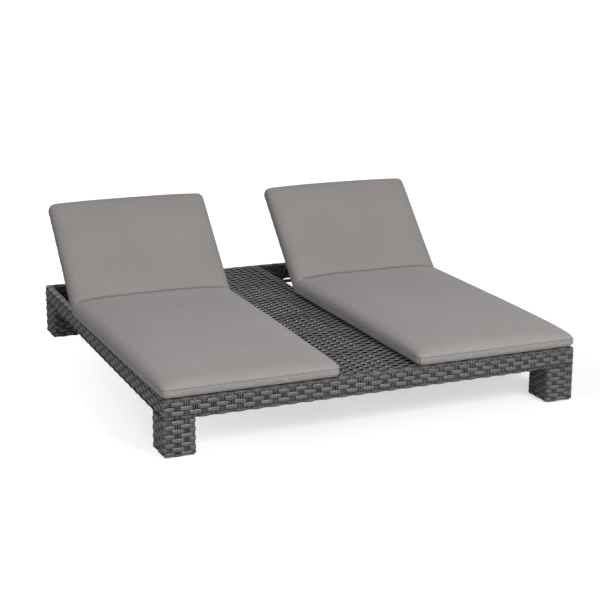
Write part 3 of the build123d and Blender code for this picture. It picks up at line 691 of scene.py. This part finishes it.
def weave_back(side, sx):
    """Weaves a backrest: strands round the panel, two more on each end, rods round it lengthways."""
    back = Strands()
    x0, x1 = BACK_X[0] + BACK_SIDE, BACK_X[1] - BACK_SIDE
    u0, u1 = BACK_U[0] + DEPTH, BACK_U[1] - DEPTH
    v0, v1 = BACK_V[0] + DEPTH, BACK_V[1] - DEPTH
    mid = (x0 + x1) / 2
    half = x1 - mid
    path = outline([(mid, v0), (x1, v0), (x1, v1), (x0, v1), (x0, v0), (mid, v0)], EDGE)
    column = path[2][-1] / BACK_COLUMNS
    corner_runs = np.array([half, half + BACK_THICK, 3 * half + BACK_THICK, 3 * half + 2 * BACK_THICK])
    turns = np.concatenate([c + CORNER_BENDS for c in corner_runs / column])
    for k in range(BACK_ROWS):
        u = BACK_U[0] + (k + 0.5) * (BACK_U[1] - BACK_U[0]) / BACK_ROWS
        counts = stitches(0, BACK_COLUMNS, k % 2, turns)[:-1]
        p, n = along(path, counts * column)
        base, normal = stand(p * [sx, 1], Y, u), stand(n * [sx, 1], Y, 0)
        back.strand(back_frame(base), back_turn(normal), counts + k % 2, closed=True)
    for end, out in ((BACK_U[0], -1), (BACK_U[1], 1)):
        for q, share in enumerate(END_ROW_SHARES):
            counts = stitches((x0 + EDGE - mid) / column, (x1 - EDGE - mid) / column, q)
            u, v = end - out * DEPTH, BACK_V[0] + BACK_THICK * share
            base = (mid + counts[:, None] * column) * [sx, 0, 0] + [0, u, v]
            back.strand(back_frame(base), back_turn(np.array([0, out, 0])), counts + q)
    hoop = outline([(u0, v0), (u1, v0), (u1, v1), (u0, v1)], EDGE, True)
    places, normals = hoop[0][:-1], hoop[1][:-1]
    for k in range(-BACK_RODS, BACK_RODS):
        base = stand(places, X, sx * (mid + (k + 0.5) * column))
        back.rods(back_frame(base), back_turn(stand(normals, X, 0)), closed=True)
    for x, out in ((x0, -1), (x1, 1)):
        base = np.array([(sx * x, u, (v0 + v1) / 2) for u in np.linspace(u0, u1, SIDE_ROD_POINTS)])
        back.rods(back_frame(base), np.array([sx * out, 0, 0]))
    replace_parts(back.build(f"{side}_back_weave", f"{side}_backrest"), f"{side}_back_wicker")


for side, sx in SIDES.items():
    weave_back(side, sx)

# Cushions: one boxed and crowned pad for each chaise, blown up flat and then bent at the fold
# The pad's band, corner radius, grid step, height at the shoulder and at the crown
BAND = 0.036
BAND_LEVELS = (0.85, 0.6, 0.3, 0.12)
PAD_CORNER = 0.032
PAD_CELL = 0.0125
SHOULDER = 0.072
PAD_CROWN = 0.0765
# Reach of the rounded shoulder at the sides and at the foot end, and how full it is
ROLL = 0.045
ROLL_END = 0.065
ROLL_POWER = 2.3
# The band's bulge and the tuck at its foot, and how the underside rises to its edges
BELLY = 0.0022
TUCK = 0.007
TUCK_LEVEL = 0.25
UNDER_RISE = 0.0045
UNDER_RUN = 0.035
# The bow of the head end, the pull of the sides, the fall of the corners and faint ripples of the top
HEAD_BOW = 0.008
WAIST = 0.002
CORNER_FALL = 0.008
CORNER_REACH = 0.12
RIPPLE = 0.0006
# Width added inside and outside, and height added: at the foot end, half way, at the fold and at the head
FLARE_IN = (-0.002, 0.001, 0.007, 0.006)
FLARE_OUT = (-0.013, -0.002, 0.007, 0.006)
SWELL = (-0.006, 0.003, 0.006, 0.003)
# The crease's reach, the level that it is pressed to, and how it fades at its ends
CREASE = 0.011
CREASE_LEVEL = 0.060
CREASE_END = 0.045
# The simulation: how far it may move a point, its hold at the fold and at the edges, and its smoothing
FRAMES = 20
CAP = 0.016
FOLD_HOLD = 0.7
FOLD_HOLD_REACH = 0.11
SMOOTHING = 24
PIN_REACH = 0.012
PIN_EDGE = 0.8
PAD_SEEDS = {"left": 11, "right": 23}
# Radii of the rolled seams, and the threads' length, width, rise and pitch
PIPING = 0.0010
CORNER_PIPING = 0.0017
THREAD = (0.0040, 0.0012, 0.0005)
THREAD_PITCH = 0.0055
# The seat's and the back's faces meet at the fold, and the pad bends about an axis under it
BEND_RADIUS = 0.072
FACE_TO_BEND = round(CUSHION_FACE - BEND_RADIUS, 4)
FOLD_U = CUSHION_FACE * (1 - math.cos(REST)) / math.sin(REST)
FOLD_Y = HINGE_Y - CUSHION_FACE * math.sin(REST) + FOLD_U * math.cos(REST)
FOLD_AT = FOLD_Y - CUSHION_FRONT
FOLD_RUN = BEND_RADIUS * REST
FOLD_MARGIN = 0.03
FOLD_STEPS = 25
PAD_LENGTH = FOLD_AT + FOLD_RUN + CUSHION_HEAD - FOLD_U
PAD_WIDTH = CUSHION_X[1] - CUSHION_X[0]
LENGTH_MARKS = (0, FOLD_AT / 2, FOLD_AT, PAD_LENGTH)


def stations(length, marks=()):
    """Gives grid lines over a length: close at the rounded ends and in the marked stretches, else even."""
    edge = np.array([0.0, 0.12, 0.26, 0.42, 0.6, 0.8, 1.0]) * PAD_CORNER
    inside = [PAD_CORNER]
    for lo, hi in marks:
        inside.extend(np.linspace(inside[-1], lo, max(2, int((lo - inside[-1]) / PAD_CELL)))[1:])
        inside.extend(np.linspace(lo, hi, FOLD_STEPS)[1:])
    last = length - PAD_CORNER
    inside.extend(np.linspace(inside[-1], last, int((last - inside[-1]) / PAD_CELL))[1:])
    return np.concatenate([edge[:-1], inside, length - edge[:-1][::-1]])


def pad_map(x, s):
    """Rounds the corners of the pad's grid: each corner square becomes a quarter disc."""
    out_x, out_s = x.copy(), s.copy()
    for fx in (0, 1):
        for fs in (0, 1):
            a = (PAD_CORNER - x) if fx == 0 else (x - PAD_WIDTH + PAD_CORNER)
            b = (PAD_CORNER - s) if fs == 0 else (s - PAD_LENGTH + PAD_CORNER)
            a, b = a / PAD_CORNER, b / PAD_CORNER
            inside = (a > 0) & (b > 0)
            da = a * np.sqrt(np.clip(1 - b * b / 2, 0, 1)) * PAD_CORNER
            db = b * np.sqrt(np.clip(1 - a * a / 2, 0, 1)) * PAD_CORNER
            out_x = np.where(inside, PAD_CORNER - da if fx == 0 else PAD_WIDTH - PAD_CORNER + da, out_x)
            out_s = np.where(inside, PAD_CORNER - db if fs == 0 else PAD_LENGTH - PAD_CORNER + db, out_s)
    return out_x, out_s


def roll(distance, reach):
    """Gives the rise of a rounded shoulder from nought at the seam to one."""
    t = 1 - np.clip(distance / reach, 0, 1)
    return np.sqrt(np.clip(1 - t ** ROLL_POWER, 0, 1))


def ripples(noise, gx, gs):
    """Gives a faint random unevenness over the grid."""
    return sum(noise.uniform(-1, 1)
               * np.sin(gx * noise.uniform(4, 16) + gs * noise.uniform(3, 12) + noise.uniform(0, 6))
               for _ in range(6)) * RIPPLE


def pad_heights(noise, gx, gs, edge_x, edge_s):
    """Gives the heights of the pad's top over its grid."""
    rise = roll(edge_x, ROLL) * roll(gs, ROLL_END) * roll(PAD_LENGTH - gs, ROLL)
    crown = (1 - (2 * gx / PAD_WIDTH - 1) ** 4) * (1 - (2 * gs / PAD_LENGTH - 1) ** 6)
    waves = ripples(noise, gx, gs)
    swell = np.interp(gs, LENGTH_MARKS, SWELL)
    swell = swell - CORNER_FALL * np.exp(-(edge_x ** 2 + edge_s ** 2) / CORNER_REACH ** 2)
    return BAND + (SHOULDER - BAND + swell) * rise + (PAD_CROWN - SHOULDER) * crown * rise + waves * rise


def pad_places(gx, gs, edge_x):
    """Gives the places of the grid: corners rounded, head end bowed, sides flared and pulled in a little."""
    mx, ms = pad_map(gx, gs)
    bow = HEAD_BOW * (1 - (2 * mx / PAD_WIDTH - 1) ** 2)
    ms = ms + bow * np.clip((gs - FOLD_AT - FOLD_RUN) / (PAD_LENGTH - FOLD_AT - FOLD_RUN), 0, 1) ** 4
    inner_flare, outer_flare = (np.interp(gs, LENGTH_MARKS, flare) for flare in (FLARE_IN, FLARE_OUT))
    flare = np.where(gx < PAD_WIDTH / 2, inner_flare, outer_flare)
    mx = PAD_WIDTH / 2 + (mx - PAD_WIDTH / 2) * (1 + 2 * flare / PAD_WIDTH)
    pull = WAIST * np.sin(math.pi * gs / PAD_LENGTH) ** 0.5
    mx = mx + np.where(edge_x < ROLL, (1 - edge_x / ROLL), 0) * np.sign(PAD_WIDTH / 2 - gx) * pull
    return mx, ms


def band_faces(loops, run):
    """Gives the faces of the band between its loops of vertices, and their cloth maps."""
    faces, uv = [], []
    levels = (1, *BAND_LEVELS, 0)
    after = np.roll(np.arange(len(run)), -1)
    ahead = np.append(run[1:], run[-1] + 0.004)
    for k in range(len(loops) - 1):
        a, b = loops[k], loops[k + 1]
        faces.append(np.stack([b, b[after], a[after], a], -1))
        hi, lo = levels[k] * BAND, levels[k + 1] * BAND
        corners = ((run, lo), (ahead, lo), (ahead, hi), (run, hi))
        uv.append(np.stack([np.stack([s, 0 * run + v], -1) for s, v in corners], 1))
    return faces, uv


def cloth_mesh(name, co, quads, loop_uv, finish, smooth=True):
    """Makes a mesh object with a cloth map, which has a place for each corner of each face."""
    mesh = bpy.data.meshes.new(name)
    mesh.from_pydata(co.tolist(), [], quads.tolist())
    mesh.polygons.foreach_set("use_smooth", np.full(len(quads), smooth))
    layer = mesh.uv_layers.new(name="cloth")
    layer.data.foreach_set("uv", loop_uv.astype(np.float32).ravel())
    mesh.materials.append(finish)
    return placed(name, mesh)


def pin_points(obj, pin):
    """Holds points against the simulation, each by its share."""
    group = obj.vertex_groups.new(name="pin")
    for level in np.unique(np.round(pin, 2)):
        if level > 0:
            group.add(np.nonzero(np.round(pin, 2) == level)[0].tolist(), float(level), "REPLACE")


def pad_mesh(name, seed):
    """Makes the flat pad. Gives the object, its band's loops of vertices and the size of its grid."""
    gx, gs = np.meshgrid(stations(PAD_WIDTH),
                         stations(PAD_LENGTH, [(FOLD_AT - FOLD_MARGIN, FOLD_AT + FOLD_RUN + FOLD_MARGIN)]),
                         indexing="ij")
    grid = gx.shape
    cells = grid[0] * grid[1]
    edge_x = np.minimum(gx, PAD_WIDTH - gx)
    edge_s = np.minimum(gs, PAD_LENGTH - gs)
    top = pad_heights(np.random.default_rng(seed), gx, gs, edge_x, edge_s)
    mx, ms = pad_places(gx, gs, edge_x)
    index = np.arange(cells).reshape(grid)
    rim = np.concatenate([index[:-1, 0], index[-1, :-1], index[1:, -1][::-1], index[0, 1:][::-1]])
    verts = [np.stack([mx, ms, top], -1).reshape(-1, 3)]
    flat = verts[0][rim]
    outward = flat_out(flat)
    loops = [rim]
    total = cells
    for t in BAND_LEVELS:
        tuck = TUCK * max(0, 1 - t / TUCK_LEVEL) ** 2
        height = UNDER_RISE + (BAND - UNDER_RISE) * t
        verts.append(flat * [1, 1, 0] + [0, 0, height] + outward * (BELLY * math.sin(math.pi * t) - tuck))
        loops.append(np.arange(len(rim)) + total)
        total += len(rim)
    base = total + index
    lifted = UNDER_RISE * np.clip(1 - np.minimum(edge_x, edge_s) / UNDER_RUN, 0, 1) ** 2
    under = np.stack([mx, ms, lifted], -1).reshape(-1, 3)
    under[rim] -= outward * TUCK
    verts.append(under)
    loops.append(rim + total)
    co = np.concatenate(verts)
    faces = [np.stack([index[:-1, :-1], index[1:, :-1], index[1:, 1:], index[:-1, 1:]], -1).reshape(-1, 4),
             np.stack([base[:-1, :-1], base[:-1, 1:], base[1:, 1:], base[1:, :-1]], -1).reshape(-1, 4)]
    uv = [co[f][:, :, :2] for f in faces]
    run = run_lengths(flat)
    side_faces, side_uv = band_faces(loops, run)
    obj = cloth_mesh(name, co, np.concatenate(faces + side_faces),
                     np.concatenate([u.reshape(-1, 2) for u in uv + side_uv]), fabric)
    near = np.clip(1 - edge_x / PIN_REACH, 0, 1) + np.clip(1 - edge_s / PIN_REACH, 0, 1)
    pin = np.zeros(len(co))
    pin[rim] = 1
    pin[base.ravel()] = 1
    pin[:cells] = np.maximum(pin[:cells], np.clip(near, 0, 1).ravel() * PIN_EDGE)
    pin_points(obj, pin)
    return obj, loops, grid


def get_co(mesh):
    """Reads a mesh's points."""
    co = np.zeros(len(mesh.vertices) * 3)
    mesh.vertices.foreach_get("co", co)
    return co.reshape(-1, 3)


def blow_up(obj, grid):
    """Fills the pad with air by cloth simulation, and caps how far a point moves."""
    scene = bpy.context.scene
    start = get_co(obj.data)
    cloth = obj.modifiers.new("Cloth", "CLOTH")
    settings = cloth.settings
    settings.quality = 5
    settings.mass = 0.4
    settings.tension_stiffness = 25
    settings.compression_stiffness = 25
    settings.shear_stiffness = 12
    settings.bending_stiffness = 1.5
    settings.shrink_min = -0.012
    settings.use_pressure = True
    settings.uniform_pressure_force = 4
    settings.vertex_group_mass = "pin"
    settings.effector_weights.gravity = 0
    cloth.collision_settings.use_collision = False
    cloth.point_cache.frame_start = 1
    cloth.point_cache.frame_end = FRAMES
    for f in range(1, FRAMES + 1):
        scene.frame_set(f)
    moved = get_co(obj.evaluated_get(bpy.context.evaluated_depsgraph_get()).data)
    obj.modifiers.remove(cloth)
    scene.frame_set(1)
    step = moved - start
    far = np.linalg.norm(step, axis=1, keepdims=True)
    step *= CAP * np.tanh(far / CAP) / np.maximum(far, 1e-9)
    nx, ns = grid
    top = step[:nx * ns].reshape(nx, ns, 3)
    spots = start[:nx * ns, 1].reshape(nx, ns, 1) - FOLD_AT - FOLD_RUN / 2
    top *= 1 - FOLD_HOLD * np.exp(-(spots / FOLD_HOLD_REACH) ** 2)
    for _ in range(SMOOTHING):
        top[1:-1, 1:-1] = (top[:-2, 1:-1] + top[2:, 1:-1] + top[1:-1, :-2] + top[1:-1, 2:]) / 4
    obj.data.vertices.foreach_set("co", (start + step).astype(np.float32).ravel())


def bend(co):
    """Bends flat pad points (across, along, height) at the fold."""
    s, h = co[:, 1], co[:, 2]
    face = CUSHION_FACE - FACE_TO_BEND
    turn = np.clip((s - FOLD_AT) / FOLD_RUN, 0, 1) * REST
    before = np.minimum(s, FOLD_AT)
    after = np.maximum(s - FOLD_AT - FOLD_RUN, 0)
    y = CUSHION_FRONT + before + np.sin(turn) * (face - h) + after * math.cos(REST)
    z = HINGE_Z + CUSHION_FACE - np.cos(turn) * (face - h) + after * math.sin(REST)
    return np.column_stack([co[:, 0] + CUSHION_X[0], y, z])


def crease(co):
    """Presses the fold's crease into the pad's top, with a small roll on both sides."""
    s, h = co[:, 1], co[:, 2]
    gap = np.maximum(FOLD_AT - s, s - FOLD_AT - FOLD_RUN)
    over = np.maximum(h - CUSHION_FACE + FACE_TO_BEND, 0) * math.tan(REST / 2)
    t = np.clip(1 - (gap - over) / CREASE, 0, 1)
    press = 1 - np.sqrt(np.clip(1 - t * t, 0, 1))
    inward = np.clip(np.minimum(co[:, 0], PAD_WIDTH - co[:, 0]) / CREASE_END, 0, 1)
    room = np.clip((h - BAND) / (SHOULDER - BAND), 0, 1) * inward * inward * (3 - 2 * inward)
    return np.column_stack([co[:, 0], s, h - press * room * np.maximum(h - CREASE_LEVEL, 0)])


def flat_out(line):
    """Gives level outward vectors of a closed line round the pad."""
    tangent = unit(np.roll(line, -1, 0) - np.roll(line, 1, 0))
    return np.stack([tangent[:, 1], -tangent[:, 0], 0 * tangent[:, 0]], -1)


def corner_marks(line):
    """Gives the indexes of a rim's points in the middle of the pad's four corners."""
    corners = [(x, s) for x in (0, PAD_WIDTH) for s in (0, PAD_LENGTH)]
    return [int(np.argmin(np.hypot(line[:, 0] - x, line[:, 1] - s))) for x, s in corners]


def corner_out(line):
    """Gives the outward directions of a join that runs down one corner of the pad's band."""
    spread = line - np.array([PAD_WIDTH / 2, PAD_LENGTH / 2, 0])
    return unit(np.sign(spread) * [1, 1, 0])


def seam_runs(lines, corners):
    """Gives the seams of a pad with their outward directions, and whether they are closed."""
    return ([(line, unit(flat_out(line)), True) for line in lines]
            + [(line, corner_out(line), False) for line in corners.swapaxes(0, 1)])


def seam_piping(name, lines, corners, sx):
    """Lays fine rolled seams along closed lines of the pad and down its corner joins, bent with it."""
    book = Strands()
    for line, out, closed in seam_runs(lines, corners):
        radius = PIPING if closed else CORNER_PIPING
        points = bend(line + out * radius * 0.3)
        normal = bend(line + out * 0.01) - points
        points[:, 0] *= sx
        normal[:, 0] *= sx
        book.sweep(points, unit(normal), round_section(radius, 8), closed=closed)
    quads = np.concatenate(book.quads)
    uv = np.concatenate(book.uv) * [1, 0.018]
    return cloth_mesh(name, np.concatenate(book.points), quads, uv[quads.ravel()], welt)


BOX = np.array([(i, j, k) for i in (-1, 1) for j in (-1, 1) for k in (-1, 1)], float)
BOX_FACES = np.array([(0, 1, 3, 2), (4, 6, 7, 5), (0, 4, 5, 1), (2, 3, 7, 6), (0, 2, 6, 4), (1, 5, 7, 3)])


def stitch_row(points, out, closed):
    """Gives the corners of small threads at an even pitch along a line."""
    line = np.concatenate([points, points[:1]]) if closed else points
    outs = np.concatenate([out, out[:1]]) if closed else out
    run = run_lengths(line)
    spots = np.arange(0.5, run[-1] / THREAD_PITCH - 0.5) * THREAD_PITCH
    at = between(spots, run, line)
    ahead = unit(between(spots + 0.001, run, line) - at)
    rise = unit(between(spots, run, outs))
    wide = np.cross(ahead, rise)
    size = np.array(THREAD) / 2
    return (at[:, None] + BOX[None, :, :1] * ahead[:, None] * size[0]
            + BOX[None, :, 1:2] * wide[:, None] * size[1] + BOX[None, :, 2:] * rise[:, None] * size[2])


def stitching(name, lines, corners, sx):
    """Sews rows of threads round the band and down its corner joins, bent with the pad."""
    boxes = np.concatenate([stitch_row(*run) for run in seam_runs(lines, corners)])
    count = len(boxes)
    co = bend(boxes.reshape(-1, 3))
    co[:, 0] *= sx
    quads = (BOX_FACES[None] + 8 * np.arange(count)[:, None, None]).reshape(-1, 4)
    if sx < 0:
        quads = quads[:, ::-1]
    uv = np.tile((BOX[:, :2] + 1) * 0.002, (count, 1))
    return cloth_mesh(name, co, quads, uv[quads.ravel()], welt, smooth=False)


def make_cushion(side, sx):
    """Makes one chaise cushion with its seams and threads, bent at the fold to the backrest's slope at rest.
    """
    pad, loops, grid = pad_mesh(f"{side}_cushion", PAD_SEEDS[side])
    blow_up(pad, grid)
    co = get_co(pad.data)
    seams = [co[loops[0]], co[loops[-1]]]
    thread_lines = [co[loops[1]], co[loops[2]]]
    corner_lines = co[np.array(loops)][:, corner_marks(co[loops[0]])]
    bent = bend(crease(co))
    bent[:, 0] *= sx
    pad.data.vertices.foreach_set("co", bent.astype(np.float32).ravel())
    if sx < 0:
        pad.data.flip_normals()
    smooth = pad.modifiers.new("Subdivision", "SUBSURF")
    smooth.levels = smooth.render_levels = 1
    bpy.context.view_layer.objects.active = pad
    pad.select_set(True)
    bpy.ops.object.modifier_apply(modifier=smooth.name)
    pad.select_set(False)
    trims = [seam_piping(f"{side}_cushion_piping", seams, corner_lines, sx),
             stitching(f"{side}_cushion_stitching", thread_lines, corner_lines, sx)]
    for obj in (pad, *trims):
        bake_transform(obj)
    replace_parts(pad, f"{side}_seat_cushion", f"{side}_back_cushion")


for side, sx in SIDES.items():
    make_cushion(side, sx)

# Floor and sky: both show nearly white, and light the object more softly
FLOOR_SIZE = 40.0
# Middle of the painted soft shadow on the floor round the lounger
FLOOR_SHADOW_MIDDLE = (0.5, -1.3, 0)


def seen_or_lit(tree, seen, lit, mirrored=False):
    """Mixes a shader for what the camera sees of the stage, mirrored too if asked, with one for its light."""
    rays = node(tree, "ShaderNodeLightPath").outputs
    kinds = feed(node(tree, "ShaderNodeMath", operation="MAXIMUM"),
                 rays["Is Camera Ray"], rays["Is Glossy Ray" if mirrored else "Is Camera Ray"])
    return feed(node(tree, "ShaderNodeMixShader"), kinds.outputs[0], lit, seen).outputs[0]


def floor_finish():
    """Makes the floor's material. Its glow is full far away and fainter round the lounger, as a painted soft
    shadow.
    """
    pale = bpy.data.materials.new("floor")
    pale.use_nodes = True
    tree = pale.node_tree
    place = node(tree, "ShaderNodeTexCoord").outputs["Object"]
    near = feed(node(tree, "ShaderNodeVectorMath", operation="DISTANCE"), place)
    near.inputs[1].default_value = FLOOR_SHADOW_MIDDLE
    # Painted shadow: the floor's glow is dimmer near the lounger
    painted_floor_shadow = node(tree, "ShaderNodeMapRange", Value=near.outputs["Value"], From_Min=0.9, From_Max=2.9,
                      To_Min=0.59, To_Max=1.0)
    glow = node(tree, "ShaderNodeEmission", Color=(1, 1, 1, 1), Strength=painted_floor_shadow.outputs[0])
    matt = node(tree, "ShaderNodeBsdfDiffuse", Color=(0.32, 0.32, 0.32, 1))
    both = feed(node(tree, "ShaderNodeAddShader"), glow.outputs[0], matt.outputs[0])
    dim = node(tree, "ShaderNodeBsdfDiffuse", Color=(0.45, 0.45, 0.45, 1))
    shown = seen_or_lit(tree, both.outputs[0], dim.outputs[0])
    fill(tree.nodes["Material Output"], Surface=shown)
    return pale


def lay_floor():
    """Lays the floor under the object."""
    mesh = bpy.data.meshes.new("floor")
    corners = [(x * FLOOR_SIZE, y * FLOOR_SIZE, 0) for x, y in ((-1, -1), (1, -1), (1, 1), (-1, 1))]
    mesh.from_pydata(corners, [], [(0, 1, 2, 3)])
    mesh.materials.append(floor_finish())
    placed("floor", mesh)


def light_sky():
    """Makes the sky white to the camera and in gloss, and dimmer as a light."""
    world = bpy.context.scene.world or bpy.data.worlds.new("World")
    bpy.context.scene.world = world
    world.use_nodes = True
    tree = world.node_tree
    white = node(tree, "ShaderNodeBackground", Color=(1, 1, 1, 1), Strength=1.0)
    sky = node(tree, "ShaderNodeBackground", Color=(1, 1, 1, 1), Strength=0.32)
    shown = seen_or_lit(tree, white.outputs[0], sky.outputs[0], True)
    fill(tree.nodes["World Output"], Surface=shown)


lay_floor()
light_sky()

# Soft lights that face the middle of the lounger: place, size and energy
LIGHT_TARGET = (0, 0, 0.2)
LIGHTS = {"key": ((1.5, -5.1, 4.0), 2.5, 385), "left": ((-5.0, -1.5, 2.6), 3.0, 80),
          "front": ((-1.5, -6.5, 2.2), 2.5, 240)}


def aim(obj, place, ahead):
    """Stands a light or camera at a place and turns it to look ahead."""
    obj.location = place
    obj.rotation_mode = "QUATERNION"
    obj.rotation_quaternion = ahead.to_track_quat("-Z", "Y")


def area_light(name, place, size, energy):
    """Hangs a soft light that faces the target."""
    data = bpy.data.lights.new(name, "AREA")
    data.shape = "DISK"
    data.size = size
    data.energy = energy
    aim(placed(name, data), place, Vector(LIGHT_TARGET) - Vector(place))


for name, (place, size, energy) in LIGHTS.items():
    area_light(name, place, size, energy)

# The camera's place, turn and lens, worked out from the photo's perspective
CAMERA_PLACE = (-2.52139, -6.10694, 2.05334)
AZIMUTH = math.radians(-22.9066)
ELEVATION = math.radians(14.7508)
SENSOR = 36
LENS = 85.057
backward = Vector((math.sin(AZIMUTH) * math.cos(ELEVATION), -math.cos(AZIMUTH) * math.cos(ELEVATION),
                   math.sin(ELEVATION)))
data = bpy.data.cameras.new("camera")
data.sensor_width = SENSOR
data.lens = LENS
camera = placed("camera", data)
aim(camera, CAMERA_PLACE, -backward)
bpy.context.scene.camera = camera
bpy.context.scene.view_settings.view_transform = "Standard"
